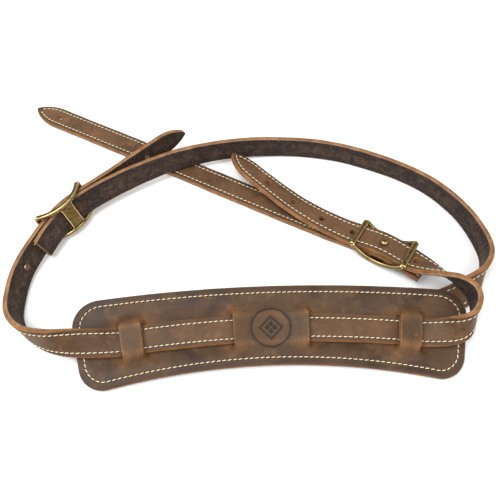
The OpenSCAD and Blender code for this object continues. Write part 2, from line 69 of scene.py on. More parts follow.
# Each row is a point of a strap's middle line: x, y, lean in degrees, height of its lowest corner
LEFT_ROUTE = [
    [-86.6, -78.5, -83, 4.15], [-98, -79.8, -79, 5.9], [-109, -80.6, -68, 7.2],
    [-121.5, -81, -48, 7], [-135.5, -79.4, -24, 4.5], [-151.2, -73, -2, 1], [-162, -60.5, 13, 0.1],
    [-164.3, -44, 18, 0.1], [-163, -28, 17, 0.7], [-157.8, -12.5, 17, 2], [-149.4, 5.4, 18, 3.1],
    [-139.2, 22.6, 18, 3.4], [-125.4, 36.5, 18, 3.5], [-106.8, 52.3, 15, 4.2], [-89.7, 68.5, 12, 4.7],
    [-72.3, 85, 9, 4.8], [-54.5, 99.5, 6, 4.9],
]
RIGHT_ROUTE = [
    [115.7, -71.5, -83, 4.15], [126, -72.3, -79, 6.5], [138.3, -72.2, -56, 8.6], [147.3, -67.3, -22, 9.8],
    [151.5, -58.2, -5, 11.4], [151.2, -48.5, -2, 13], [144, -39.9, -12, 13], [134.3, -33.2, -36, 11],
    [126.3, -27, -62, 9.8], [119.3, -20.5, -82, 9.3], [113.3, -15.3, -88, 9.2], [98.3, -5, -90, 9.75],
    [82.3, 5, -90, 5], [73.3, 8.7, -90, 4.9], [54.2, 18.6, -85, 5.2], [35, 31.2, -78, 5.4],
    [16, 47.5, -74, 6], [0, 62, -70, 7], [-14, 77, -66, 8],
]
LONG_TAIL_ROUTE = [
    [-150.9, -10, 17, 3.4], [-145.45, 3.45, 18, 4.2], [-135.87, 19.9, 18, 4.4],
    [-122.4, 33.3, 18, 4.6], [-105, 45.9, 16, 4.8], [-84, 58.6, 13, 4.8], [-56, 71.7, 9, 4.8],
    [-18, 83, 7, 3], [24, 88, 5, 0.3], [66, 83.6, 3, 0.1], [104.8, 70.2, 1, 0.1],
    [136.5, 52.4, 0, 0.1], [157.8, 30, 2, 0.1], [168.8, 8.3, 5, 0.1], [173, -12, 4, 0.1],
    [166.6, -27.4, -10, 0.1], [157.8, -37, -44, 0.1], [146, -44.1, -75, 0.1], [132, -48.1, -87, 0.1],
    [112, -50, -89, 0.1], [86, -50.3, -90, 0],
]
SHORT_TAIL_ROUTE = [
    [125.5, -25.7, -86, 4.4], [113.5, -15.9, -88, 4.6], [98.7, -5.3, -90, 5.3], [82.5, 4.6, -90, 0.5],
    [73, 8.8, -90, 0.35], [60, 14.5, -90, 0.15], [10, 38.9, -90, 0.03], [-28, 57.8, -90, 0],
    [-62, 74.8, -90, 0], [-96, 91.8, -90, 0], [-141, 113.8, -90, 0], [-186, 136, -90, 0],
]
LEFT_SPAN_END, LEFT_STUD, LEFT_FLEX = 4.5, 11, 12.1
RIGHT_SPAN_END, RIGHT_STUD, RIGHT_FLEX = 3.6, 11, 12.25
SHORT_STUD, SHORT_FLEX = 2, 9
LEFT_HOLES = [-2, -1, 1, 2, 3]
RIGHT_HOLES = [-1, 1, 2, 3, 4]

# Shoulder pad
PAD_ORIGIN = np.array([14.3, -67.8, 5.05])
PAD_TURN, PAD_TILT = math.radians(2), math.radians(7)
PAD_LEN = 264.4
PAD_PLY = 2.0
PAD_T = 4.0
PAD_R = 800.0
PAD_FAN = 0.0006
UPPER_CORNER, LOWER_CORNER = 20.0, 17.0
PAD_SEAM_INSET = 5.0
SLOTS = [26.0, 86.0, 101.5]
SLOT_HALF = 10.45
SLOT_GAP = 1.0
SLOT_Y = -0.4
BRIDGE_LIFT, WINDOW_DROP = 5.7, 2.75
WOVEN_Z, LOGO_RELAX = 3.5, 3.1
DENT_LEN = 24.0
MARK_R = 13.3

# ---- camera ----


CAMERA_FROM_MIDDLE = np.array([0, -192.9, 348])
CAMERA_TILT = math.radians(29)
CAMERA_LENS = 37.8


def add_camera():
    """Camera at the angle the strap is shown from."""
    data = bpy.data.cameras.new("camera")
    data.sensor_fit = "HORIZONTAL"
    data.sensor_width = 36
    data.lens = CAMERA_LENS
    camera = bpy.data.objects.new("camera", data)
    camera.location = (SHIFT + CAMERA_FROM_MIDDLE) * MM
    camera.rotation_euler = (CAMERA_TILT, 0, 0)
    bpy.context.collection.objects.link(camera)
    bpy.context.scene.camera = camera


add_camera()

# ---- colours and node helpers ----


def linear(r, g, b):
    """Linear colour with alpha from 8-bit sRGB values."""
    def one(v):
        v = v / 255
        return v / 12.92 if v <= 0.04045 else ((v + 0.055) / 1.055) ** 2.4
    return (one(r), one(g), one(b), 1.0)


class Nodes:
    """Short calls for building one material's node tree."""

    def __init__(self, name):
        self.material = bpy.data.materials.new(name)
        self.material.use_nodes = True
        self.tree = self.material.node_tree
        self.shader = self.tree.nodes["Principled BSDF"]
        self.place = self.add("ShaderNodeTexCoord").outputs["Object"]

    def add(self, kind, **values):
        """One node with its properties set."""
        node = self.tree.nodes.new(kind)
        for key, value in values.items():
            setattr(node, key, value)
        return node

    def join(self, source, target):
        """Links an output to an input."""
        self.tree.links.new(source, target)

    def feed(self, socket, value):
        """Links an output to a socket, or sets the socket to a constant."""
        if isinstance(value, bpy.types.NodeSocket):
            self.join(value, socket)
        else:
            socket.default_value = value

    def stretched(self, scale, rotation=(0, 0, 0)):
        """Object coordinates scaled and turned."""
        node = self.add("ShaderNodeMapping")
        node.inputs["Scale"].default_value = scale
        node.inputs["Rotation"].default_value = rotation
        self.join(self.place, node.inputs["Vector"])
        return node.outputs["Vector"]

    def noise(self, scale, detail=4, roughness=0.55, distortion=0.0, at=None):
        """Cloudy noise."""
        node = self.add("ShaderNodeTexNoise")
        self.feed(node.inputs["Vector"], at or self.place)
        node.inputs["Scale"].default_value = scale
        node.inputs["Detail"].default_value = detail
        node.inputs["Roughness"].default_value = roughness
        node.inputs["Distortion"].default_value = distortion
        return node.outputs["Fac"]

    def cells(self, scale, feature="F1", at=None):
        """Cell pattern."""
        node = self.add("ShaderNodeTexVoronoi", feature=feature)
        self.feed(node.inputs["Vector"], at or self.place)
        node.inputs["Scale"].default_value = scale
        return node.outputs["Distance"]

    def ramp(self, value, low, high, from_value=0.0, to_value=1.0):
        """Smooth step from one value to another."""
        node = self.add("ShaderNodeMapRange", interpolation_type="SMOOTHSTEP")
        self.feed(node.inputs["Value"], value)
        node.inputs["From Min"].default_value = low
        node.inputs["From Max"].default_value = high
        node.inputs["To Min"].default_value = from_value
        node.inputs["To Max"].default_value = to_value
        return node.outputs["Result"]

    def math(self, operation, a, b=0.5):
        """Result of one sum."""
        node = self.add("ShaderNodeMath", operation=operation)
        self.feed(node.inputs[0], a)
        self.feed(node.inputs[1], b)
        return node.outputs["Value"]

    def mix(self, factor, a, b, mode="MIX"):
        """Mix of two colours."""
        node = self.add("ShaderNodeMix", data_type="RGBA", blend_type=mode)
        self.feed(node.inputs["Factor"], factor)
        self.feed(node.inputs["A"], a)
        self.feed(node.inputs["B"], b)
        return node.outputs["Result"]

    def attribute(self, name):
        """Value painted on the mesh."""
        return self.add("ShaderNodeAttribute", attribute_name=name).outputs["Fac"]

    def bump(self, height, strength, distance, normal=None):
        """Normal roughened by a height."""
        node = self.add("ShaderNodeBump")
        node.inputs["Strength"].default_value = strength
        node.inputs["Distance"].default_value = distance
        self.feed(node.inputs["Height"], height)
        if normal is not None:
            self.join(normal, node.inputs["Normal"])
        return node.outputs["Normal"]

    def finish(self, color, roughness, normal=None, **constants):
        """Connects the shader and returns the material."""
        self.feed(self.shader.inputs["Base Color"], color)
        self.feed(self.shader.inputs["Roughness"], roughness)
        if normal is not None:
            self.join(normal, self.shader.inputs["Normal"])
        for key, value in constants.items():
            self.shader.inputs[key.replace("_", " ")].default_value = value
        return self.material


def grain_leather(name, dark, middle, light, pulled, wear):
    """Oiled grain leather: cloudy colour, rubbed light where the mesh says so, fine scratches and pores."""
    n = Nodes(name)
    clouds = n.noise(38, 5, 0.62, 0.6)
    color = n.mix(n.ramp(clouds, 0.34, 0.62), dark, middle)
    patches = n.noise(95, 4, 0.6, 0.3)
    color = n.mix(n.ramp(patches, 0.5, 0.78, 0, 0.75), color, light)
    rubbed = n.math("MULTIPLY", n.attribute("rub"), n.ramp(n.noise(60, 4, 0.6), 0.3, 0.65, 0.35, 1.0))
    color = n.mix(n.math("MULTIPLY", rubbed, wear), color, pulled)
    scratch_a = n.cells(55, "DISTANCE_TO_EDGE", n.stretched((1, 5.5, 1), (0, 0, 0.5)))
    scratch_b = n.cells(42, "DISTANCE_TO_EDGE", n.stretched((5, 1, 1), (0, 0, -0.3)))
    broken = n.ramp(n.noise(30, 2), 0.42, 0.6, 0.0, 0.4)
    lines = n.math("MINIMUM", n.math("ADD", scratch_a, broken), scratch_b)
    lines = n.ramp(lines, 0.0, 0.012, 1.0, 0.0)
    shown = n.math("MULTIPLY", lines, n.ramp(n.noise(48, 3, 0.5), 0.56, 0.66, 0, 0.4))
    color = n.mix(shown, color, pulled)
    fine = n.noise(900, 3, 0.6)
    color = n.mix(n.ramp(fine, 0.3, 0.7, 0.0, 0.4), color, dark)
    # darkens where the mesh says: darker margins, hole rings and stamp, and painted shade along the seam
    # groove
    color = n.mix(n.attribute("burn"), color, linear(38, 27, 22))
    pores = n.cells(1500)
    height = n.math("ADD", n.math("MULTIPLY", pores, 0.5), n.math("MULTIPLY", n.noise(420, 4), 0.9))
    height = n.math("SUBTRACT", height, n.math("MULTIPLY", shown, 0.4))
    normal = n.bump(height, 0.35, 0.00022)
    roughness = n.ramp(clouds, 0.2, 0.8, 0.42, 0.6)
    return n.finish(color, roughness, normal, Specular_IOR_Level=0.22)


def cut_edge(name, low, high, stripe):
    """Burnished cut edge: fibres run along it in fine stripes."""
    n = Nodes(name)
    color = n.mix(n.ramp(n.noise(120, 4, 0.6), 0.3, 0.7), low, high)
    layers = n.noise(900, 2, 0.5, 0.0, n.stretched((0.35, 0.35, 2.2)))
    color = n.mix(n.ramp(layers, 0.5, 0.75, 0, 0.55), color, stripe)
    normal = n.bump(n.noise(1300, 4, 0.6), 0.4, 0.00015)
    return n.finish(color, n.ramp(layers, 0.3, 0.7, 0.4, 0.6), normal, Specular_IOR_Level=0.25)


def flesh_leather():
    """Dark mottled flesh side with long dark smears."""
    n = Nodes("flesh_leather")
    mottled = n.noise(150, 6, 0.72, 1.2)
    color = n.mix(n.ramp(mottled, 0.38, 0.66), linear(42, 33, 29), linear(82, 64, 52))
    smears = n.noise(46, 5, 0.65, 2.2)
    color = n.mix(n.ramp(smears, 0.5, 0.7, 0, 0.85), color, linear(34, 33, 36))
    fuzz = n.noise(1100, 4, 0.7)
    color = n.mix(n.ramp(fuzz, 0.45, 0.8, 0, 0.35), color, linear(104, 80, 64))
    # darkens where the mesh says: darker margins and hole rings, and painted shade along the seam groove on
    # the back
    color = n.mix(n.attribute("burn"), color, linear(30, 22, 20))
    height = n.math("ADD", fuzz, n.math("MULTIPLY", mottled, 1.5))
    normal = n.bump(height, 0.55, 0.0003)
    return n.finish(color, 0.78, normal, Specular_IOR_Level=0.12, Sheen_Weight=0.05, Sheen_Roughness=0.5)


def waxed_thread(name, pale, shade):
    """Twisted waxed thread."""
    n = Nodes(name)
    fibres = n.noise(2600, 3, 0.6, 0.4)
    color = n.mix(n.ramp(fibres, 0.3, 0.7), shade, pale)
    color = n.mix(n.ramp(n.noise(140, 3), 0.55, 0.8, 0, 0.35), color, shade)
    normal = n.bump(fibres, 0.6, 0.0001)
    return n.finish(color, 0.6, normal, Specular_IOR_Level=0.35)


def antique_brass():
    """Cast brass: warm where it is rubbed, dark in the pits and hollows."""
    n = Nodes("antique_brass")
    tarnish = n.noise(520, 6, 0.75, 0.5)
    color = n.mix(n.ramp(tarnish, 0.36, 0.68), linear(74, 58, 33), linear(132, 109, 66))
    pits = n.noise(1500, 4, 0.65)
    color = n.mix(n.ramp(pits, 0.55, 0.75, 0, 0.6), color, linear(66, 48, 26))
    worn = n.attribute("rub")
    color = n.mix(n.math("MULTIPLY", worn, 0.9), color, linear(242, 214, 144))
    color = n.mix(n.attribute("burn"), color, linear(52, 38, 22))
    normal = n.bump(n.math("ADD", pits, n.math("MULTIPLY", tarnish, 0.5)), 0.3, 0.00012)
    roughness = n.ramp(tarnish, 0.3, 0.75, 0.26, 0.44)
    return n.finish(color, roughness, normal, Metallic=1.0)


STRAP_LEATHER = grain_leather(
    "strap_grain", linear(74, 51, 34), linear(101, 73, 48), linear(124, 90, 58), linear(146, 98, 54), 0.6)
PAD_LEATHER = grain_leather(
    "pad_grain", linear(58, 42, 31), linear(84, 62, 43), linear(112, 83, 54), linear(142, 98, 54), 0.7)
FACE_EDGE = cut_edge("face_edge", linear(118, 76, 34), linear(154, 104, 52), linear(92, 56, 27))
PAD_EDGE = cut_edge("pad_edge", linear(88, 57, 34), linear(116, 78, 48), linear(70, 44, 27))
LINING_EDGE = cut_edge("lining_edge", linear(118, 86, 60), linear(152, 116, 84), linear(90, 62, 42))
FLESH = flesh_leather()
CREAM_THREAD = waxed_thread("cream_thread", linear(244, 232, 200), linear(206, 184, 138))
DARK_THREAD = waxed_thread("dark_thread", linear(74, 60, 54), linear(40, 33, 31))
BRASS = antique_brass()

# ---- paths ----


def unit(v):
    """Vectors scaled to length one."""
    return v / np.linalg.norm(v, axis=-1, keepdims=True)


def catmull(rows, u):
    """Catmull-Rom values of the rows at parameters u."""
    rows = np.array(rows, float)
    last = len(rows) - 1
    padded = np.vstack([2 * rows[0] - rows[1], rows, 2 * rows[-1] - rows[-2]])
    i = np.clip(np.floor(u).astype(int), 0, last - 1)
    k = (u - i)[:, None]
    a, b, c, d = padded[i], padded[i + 1], padded[i + 2], padded[i + 3]
    return 0.5 * (2 * b + (c - a) * k + (2 * a - 5 * b + 4 * c - d) * k**2 + (3 * b - a - 3 * c + d) * k**3)


def lengths(points):
    """Distance along a line of points, from its start."""
    return np.concatenate([[0], np.cumsum(np.linalg.norm(np.diff(points, axis=0), axis=1))])


def route_frames(rows, side):
    """Points, directions across and out, and parameters of a route, closely spaced."""
    u = np.linspace(0, len(rows) - 1, (len(rows) - 1) * 60 + 1)
    r = catmull(rows, u)
    lean = np.radians(r[:, 2])
    z = r[:, 3] + HALF_W * abs(np.cos(lean)) + PLY * abs(np.sin(lean))
    p = np.column_stack([r[:, 0], r[:, 1], z])
    t = unit(np.gradient(p, axis=0))
    o = unit(side * np.cross(t, UP))
    up = unit(side * np.cross(o, t))
    d = np.cos(lean)[:, None] * up + np.sin(lean)[:, None] * o
    return p, d, side * np.cross(t, d), u


def blur(values, width):
    """Gaussian smoothing of the rows of an array whose ends stay where they are."""
    reach = int(width * 4)
    k = np.exp(-0.5 * (np.arange(-reach, reach + 1) / width) ** 2)
    k /= k.sum()
    padded = np.vstack([
        2 * values[0] - values[reach:0:-1], values, 2 * values[-1] - values[-2:-reach - 2:-1]])
    return np.column_stack([np.convolve(padded[:, i], k, "valid") for i in range(values.shape[1])])


def point_half_w(distance):
    """Half width at a distance from a pointed end."""
    k = np.clip(distance / POINT_LEN, 0, 1)
    return TIP_HALF_W + (HALF_W - TIP_HALF_W) * (1 - (1 - k) ** 2.1) ** 0.8


def seam_of_point():
    """Distance from the point, and distance from the middle, along the seam of a pointed end."""
    x = np.linspace(0.01, POINT_LEN + 12, 800)
    w = point_half_w(x)
    slope = np.gradient(w, x)
    k = np.sqrt(1 + slope**2)
    along, across = x + SEAM_INSET * slope / k, w - SEAM_INSET / k
    keep = across > 0
    order = np.argsort(along[keep])
    return along[keep][order], across[keep][order]


SEAM_X, SEAM_A = seam_of_point()


class Path:
    """Middle line of a strap by distance q along it, with its width, seam and pointed ends."""

    def __init__(self, p, d, n, pointed=(False, False)):
        q = lengths(p)
        self.end = q[-1]
        self.q = np.arange(0, self.end, 0.5)
        table = np.hstack([p, d, n])
        table = np.column_stack([np.interp(self.q, q, table[:, i]) for i in range(9)])
        self.table = blur(table, 5.0)
        self.pointed = pointed

    def at(self, q):
        """Point, direction across and direction out at each distance."""
        table = np.column_stack([np.interp(q, self.q, self.table[:, i]) for i in range(9)])
        p, d = table[:, 0:3] + SHIFT, unit(table[:, 3:6])
        n = table[:, 6:9]
        n = unit(n - np.sum(n * d, axis=1, keepdims=True) * d)
        return p, d, n

    def from_point(self, q):
        """Distance to the nearest pointed end."""
        near = np.full(len(q), 1e3)
        if self.pointed[0]:
            near = np.minimum(near, q)
        if self.pointed[1]:
            near = np.minimum(near, self.end - q)
        return near

    def half_w(self, q):
        """Half width at each distance."""
        ripple = 0.07 * np.sin(q / 8.3) + 0.05 * np.sin(q / 3.1 + 1.7)
        near = self.from_point(q)
        return point_half_w(near) + ripple * np.clip(near / 10, 0, 1)

    def seam(self, q):
        """Distance of the seam from the middle."""
        return np.interp(self.from_point(q), SEAM_X, SEAM_A, left=0.0)

    def stations(self, q0, q1):
        """Distances at which the strip has points, closer together near a pointed end."""
        q = [q0]
        while q[-1] < q1 - 1e-6:
            near = self.from_point(np.array([q[-1]]))[0]
            q.append(min(q[-1] + (FINE_STATION if near < POINT_LEN + 4 else STATION), q1))
        return np.array(q)


def pad_world(p):
    """Points of the pad's own frame in the layout's frame."""
    y = p[:, 1] * math.cos(PAD_TILT) - p[:, 2] * math.sin(PAD_TILT)
    z = p[:, 1] * math.sin(PAD_TILT) + p[:, 2] * math.cos(PAD_TILT)
    x = p[:, 0]
    c, s = math.cos(PAD_TURN), math.sin(PAD_TURN)
    return PAD_ORIGIN + np.column_stack([x * c - y * s, x * s + y * c, z])


def pad_point(s, r, z):
    """Point at s along the pad's middle arc, r across it and z above its underside."""
    a = np.asarray(s) * (1 + PAD_FAN * np.asarray(r)) / PAD_R
    return pad_world(np.column_stack([
        (PAD_R + r) * np.sin(a), (PAD_R + r) * np.cos(a) - PAD_R + SLOT_Y, np.broadcast_to(z, np.shape(a))]))


def relax(s):
    """1 in the middle of the wide bridge, falling to 0 at its slots."""
    return np.where(abs(s) < SLOTS[0], 1 - (s / SLOTS[0]) ** 2, 0)


def woven_frames():
    """Frames of the strap where it is woven through the pad."""
    s = np.linspace(-SLOTS[2], SLOTS[2], 407)
    z = WOVEN_Z - (LOGO_RELAX + 0.1) * relax(s)
    p = pad_point(s, 0 * s, z)
    d = pad_point(s, 0 * s + 1, z) - p
    n = pad_point(s, 0 * s, z + 1) - p
    return p, d, n


def centre_strap():
    """The whole centre strap from its left point to its right one, and the distances of its stations."""
    lp, ld, ln, lu = route_frames(LEFT_ROUTE, -1)
    rp, rd, rn, ru = route_frames(RIGHT_ROUTE, 1)
    wp, wd, wn = woven_frames()
    p = np.vstack([lp[:0:-1], wp, rp[1:]])
    d = np.vstack([ld[:0:-1], wd, rd[1:]])
    n = np.vstack([ln[:0:-1], wn, rn[1:]])
    q = lengths(p)
    left_len, woven_len = lengths(lp), lengths(wp)
    slot_1 = q[len(lp) - 1]
    slot_6 = slot_1 + woven_len[-1]

    def left_q(u):
        return slot_1 - np.interp(u, lu, left_len)

    def right_q(u):
        return slot_6 + np.interp(u, ru, lengths(rp))

    return Path(p, d, n, (True, True)), left_q, right_q, slot_1, slot_6


def simple_path(rows, side, pointed):
    """Path of a tail, and the function from a point of its route to a distance along the path."""
    p, d, n, u = route_frames(rows, side)
    walked = lengths(p)
    if side > 0:
        return Path(p, d, n, pointed), lambda v: np.interp(v, u, walked)
    # every path keeps along x across = out, so this one is walked backwards
    return Path(p[::-1], d[::-1], n[::-1], pointed[::-1]), lambda v: walked[-1] - np.interp(v, u, walked)


CENTRE, left_q, right_q, SLOT_1, SLOT_6 = centre_strap()
LONG_TAIL, long_q = simple_path(LONG_TAIL_ROUTE, -1, (False, True))
SHORT_TAIL, short_q = simple_path(SHORT_TAIL_ROUTE, 1, (False, True))

# ---- meshes ----


def new_object(name, verts, faces, materials, index=None, **attributes):
    """Smooth mesh object from millimetre points, with one float attribute for each keyword."""
    mesh = bpy.data.meshes.new(name)
    mesh.from_pydata((np.asarray(verts) * MM).tolist(), [], faces)
    for material in materials:
        mesh.materials.append(material)
    if index is not None:
        mesh.polygons.foreach_set("material_index", np.asarray(index, np.int32))
    for key, values in attributes.items():
        mesh.attributes.new(key, "FLOAT", "POINT").data.foreach_set("value", np.asarray(values, np.float32))
    mesh.polygons.foreach_set("use_smooth", [True] * len(mesh.polygons))
    mesh.update()
    obj = bpy.data.objects.new(name, mesh)
    bpy.context.collection.objects.link(obj)
    return obj


def ring_faces(rings, points):
    """Quads round a sweep of closed rings, with both ends capped."""
    k = np.arange(rings - 1)[:, None] * points
    m = np.arange(points)[None, :]
    m2 = (m + 1) % points
    quads = np.stack([k + m, k + m2, k + points + m2, k + points + m], axis=-1).reshape(-1, 4).tolist()
    start = list(range(points))[::-1]
    finish = [(rings - 1) * points + i for i in range(points)]
    return quads + [start, finish]


LEAST_SEAM = 0.35             # the seam groove is never nearer the middle than this share of the half width


def face_columns(w, a):
    """Grain ply section from its right bottom corner over the top to the left one: across, out, is edge."""
    q = np.clip(w / 4, 0.12, 1)
    fade = np.clip(a / 2, 0, 1)
    a = np.maximum(a, LEAST_SEAM * w)
    side = w - a
    return [
        (w - 0.05 * q, 0.0, 1), (w + 0.04 * q, 0.5, 1), (w, 1.05, 1), (w - 0.16 * q, 1.45, 1),
        (w - 0.42 * q, 1.74, 1), (w - 0.8 * q, 1.92, 0), (w - 1.3 * q, 2.0, 0),
        (a + 0.42 * side, 2.03, 0), (a + 0.16 * side, 2.01 - 0.04 * fade, 0), (a, 2.0 - 0.24 * fade, 0),
        (a * 0.925, 1.98, 0), (a * 0.83, 2.04, 0), (a * 0.5, 2.05, 0), (a * 0.0, 2.05, 0),
    ]


def lining_columns(w, a):
    """Lining ply section, out measured downwards from the middle plane."""
    q = np.clip(w / 4, 0.12, 1)
    fade = np.clip(a / 2, 0, 1)
    a = np.maximum(a, LEAST_SEAM * w)
    side = w - a
    return [
        (w - 0.05 * q, 0.0, 1), (w + 0.03 * q, 0.5, 1), (w - 0.02 * q, 1.1, 1), (w - 0.18 * q, 1.55, 1),
        (w - 0.45 * q, 1.82, 1), (w - 0.85 * q, 1.95, 0), (w - 1.4 * q, 2.0, 0),
        (a + 0.16 * side, 1.99, 0), (a, 2.0 - 0.16 * fade, 0), (a * 0.92, 1.99, 0), (a * 0.5, 2.0, 0),
        (a * 0.0, 2.0, 0),
    ]


def strip(name, path, q0, q1, layer, materials, hole_qs=(), hole_r=HOLE_R, studs=()):
    """One leather ply between two distances along a path, with its holes cut."""
    q = path.stations(q0, q1)
    p, d, n = path.at(q)
    w, a = path.half_w(q), path.seam(q)
    half = (face_columns if layer == "face" else lining_columns)(w, a)
    sign = 1 if layer == "face" else -1
    across = [c[0] for c in half] + [-c[0] for c in half[-2::-1]]
    out = [np.broadcast_to(c[1], w.shape) for c in half]
    out = out + out[-2::-1]
    edge = [c[2] for c in half] + [c[2] for c in half[-2::-1]]
    waves = 0.05 * np.sin(q / 6.1 + (0 if sign > 0 else 2))
    across, out = np.stack(across, 1), np.stack(out, 1)
    out = out + (out > 1.6) * waves[:, None]
    if sign < 0:
        across = across[:, ::-1]
    verts = p[:, None] + across[..., None] * d[:, None] + (sign * out)[..., None] * n[:, None]
    count = across.shape[1]
    faces = ring_faces(len(q), count)
    column = np.tile(np.arange(count), len(q) - 1)
    is_edge = np.array([edge[i] and edge[(i + 1) % count] for i in range(count)])
    index = np.concatenate([is_edge[column].astype(int), [1, 1]])
    rub = np.exp(-((w[:, None] - abs(across)) / 0.9) ** 2) * 0.8
    inside = w[:, None] - abs(across)
    # darker band just inside each edge of the ply
    burn = 0.3 * np.exp(-((inside - 1.5) / 1.1) ** 2)
    # painted shade: a dark line along the seam groove, standing in for the shadow of the stitch holes and the
    # thread
    burn = np.maximum(burn, 0.95 * np.exp(-((abs(across) - a[:, None]) / 0.5) ** 2) * (a[:, None] > 0.3))
    # darker ring at the mouth of each hole and stud hole
    for h in list(hole_qs) + list(studs):
        away = np.sqrt((q[:, None] - h) ** 2 + across**2)
        burn = np.maximum(burn, 0.75 * np.exp(-((away - hole_r) / 0.55) ** 2))
    obj = new_object(name, verts.reshape(-1, 3), faces, materials, index, rub=rub.ravel(), burn=burn.ravel())
    for at, radius in [(h, hole_r) for h in hole_qs] + [(h, HOLE_R) for h in studs]:
        centre, _, out = path.at(np.array([at]))
        cut_hole(obj, centre[0], out[0], radius, materials[1])
    return obj


def cut_hole(obj, centre, axis, radius, material):
    """Cuts a round hole with slightly flared mouths through a strip."""
    sides = 32
    profile = [(-9, radius + 0.3), (-2.3, radius + 0.3), (-1.6, radius), (1.6, radius), (2.3, radius + 0.3),
               (9, radius + 0.3)]
    z = Vector(axis)
    turn = z.to_track_quat("Z", "Y").to_matrix()
    verts = []
    for h, r in profile:
        for i in range(sides):
            t = 2 * math.pi * i / sides
            verts.append(np.array(turn @ Vector((r * math.cos(t), r * math.sin(t), h))) + centre)
    cutter = new_object("cutter", verts, ring_faces(len(profile), sides), [material])
    modifier = obj.modifiers.new("hole", "BOOLEAN")
    modifier.operation = "DIFFERENCE"
    modifier.solver = "EXACT"
    modifier.object = cutter
    bake(obj)
    bpy.data.objects.remove(cutter)


def bake(obj):
    """Replaces an object's mesh with the result of its modifiers."""
    bpy.context.view_layer.update()
    result = bpy.data.meshes.new_from_object(obj.evaluated_get(bpy.context.evaluated_depsgraph_get()))
    old = obj.data
    obj.modifiers.clear()
    obj.data = result
    bpy.data.meshes.remove(old)


# ---- stitches ----

STITCH_SIDES = 7
STITCH_SLANT, SLANT_SPREAD = 7, 2.5
STITCH_WANDER = 0.06
FACE_STITCH = {"length": 3.0, "width": 0.68, "height": 0.55, "sunk": 0.1}
BACK_STITCH = {"length": 2.9, "width": 0.62, "height": 0.4, "sunk": 0.2}
STITCH_PROFILE = [(-1.0, 0.12), (-0.9, 0.55), (-0.6, 0.92), (0.0, 1.0), (0.6, 0.92), (0.9, 0.55), (1.0, 0.12)]


def stitch_mesh(centre, along, out, length, width, height, sunk):
    """Points of one stitch lying on the leather: it bulges in the middle and dives in at its ends."""
    side = np.cross(out, along)
    verts = []
    for t, r in STITCH_PROFILE:
        lift = height * (0.75 * (1 - t * t) - sunk)
        for i in range(STITCH_SIDES):
            g = 2 * math.pi * i / STITCH_SIDES
            verts.append(centre + along * (t * length / 2) + side * (math.cos(g) * r * width / 2)
                         + out * (lift + math.sin(g) * r * height / 2))
    return verts


STITCH_FACES = ring_faces(len(STITCH_PROFILE), STITCH_SIDES)


def thread_object(name, stitches, material, shape):
    """One piece holding every stitch of a list."""
    verts, faces = [], []
    for centre, along, out in stitches:
        base = len(verts)
        verts.extend(stitch_mesh(centre, along, out, **shape))
        faces.extend([[i + base for i in f] for f in STITCH_FACES])
    return new_object(name, verts, faces, [material])


def slanted(along, out, rng):
    """Direction of one stitch, a little across the seam as hand sewing leaves it."""
    slant = math.radians(STITCH_SLANT + rng.uniform(-SLANT_SPREAD, SLANT_SPREAD))
    return math.cos(slant) * along + math.sin(slant) * np.cross(out, along)


def seam_stitches(path, side, out_sign):
    """All stitches of one seam row as distance, point, direction and outward direction."""
    q = np.arange(0, path.end, 0.25)
    keep = path.from_point(q) > SEAM_X[0] + 0.3
    q = q[keep]
    a = side * path.seam(q)
    p, d, n = path.at(q)
    level = PLY - 0.16 if out_sign > 0 else PLY - 0.08
    line = p + a[:, None] * d + out_sign * level * n
    walked = lengths(line)
    rng = random.Random(int(path.end) * 10 + side + 5 * out_sign)
    found = []
    for at in np.arange(STITCH_PITCH / 2, walked[-1], STITCH_PITCH):
        at = at + rng.uniform(-STITCH_WANDER, STITCH_WANDER)
        i = min(np.searchsorted(walked, at), len(q) - 2)
        along = unit(line[min(i + 4, len(q) - 1)] - line[max(i - 4, 0)])
        out = out_sign * n[i]
        found.append((q[i], line[i], slanted(along, out, rng), out))
    return found


def all_stitches(path, out_sign):
    """Both seam rows of a path, on its face or its back."""
    return seam_stitches(path, 1, out_sign) + seam_stitches(path, -1, out_sign)


STITCHES = {
    key: (all_stitches(path, 1), all_stitches(path, -1))
    for key, path in (("centre", CENTRE), ("long", LONG_TAIL), ("short", SHORT_TAIL))
}


def between(stitches, q0, q1):
    """The stitches that lie between two distances along their path."""
    return [s[1:] for s in stitches if q0 <= s[0] < q1]


# ---- one length of strap: two plies and their thread ----


def length_of_strap(name, node, key, path, q0, q1, settle, holes=(), hole_r=HOLE_R, studs=()):
    """Builds both plies and the thread of a length of strap and settles each piece with the given step."""
    low, high = min(q0, q1), max(q0, q1)
    face = strip(name + "_grain", path, low, high, "face", [STRAP_LEATHER, FACE_EDGE], holes, hole_r, studs)
    lining = strip(name + "_flesh", path, low, high, "lining", [FLESH, LINING_EDGE], holes, hole_r, studs)
    top, back = STITCHES[key]
    cream = thread_object(name + "_stitches", between(top, low, high), CREAM_THREAD, FACE_STITCH)
    dark = thread_object(name + "_back_stitches", between(back, low, high), DARK_THREAD, BACK_STITCH)
    slots = ("strap_leather", "lining_leather", "thread", "thread")
    for piece, slot in zip((face, lining, cream, dark), slots):
        settle(piece)
    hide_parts(node + "_face")
    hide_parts(node + "_lining")
    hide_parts(node + "_thread")
    return face, lining, cream, dark


def on(body):
    """Puts a piece on one body."""
    return lambda piece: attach(piece, body)


def across_joint(body_a, body_b, path, qa, qb):
    """Step for a piece between two bodies from distance qa to distance qb along its path: it bakes the piece's
    placement into its mesh and puts it on neither body.
    """
    start, end = (path.at(np.array([q]))[0][0] * MM for q in (qa, qb))
    return lambda piece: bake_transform(piece, body_a, body_b, start=tuple(start), end=tuple(end))


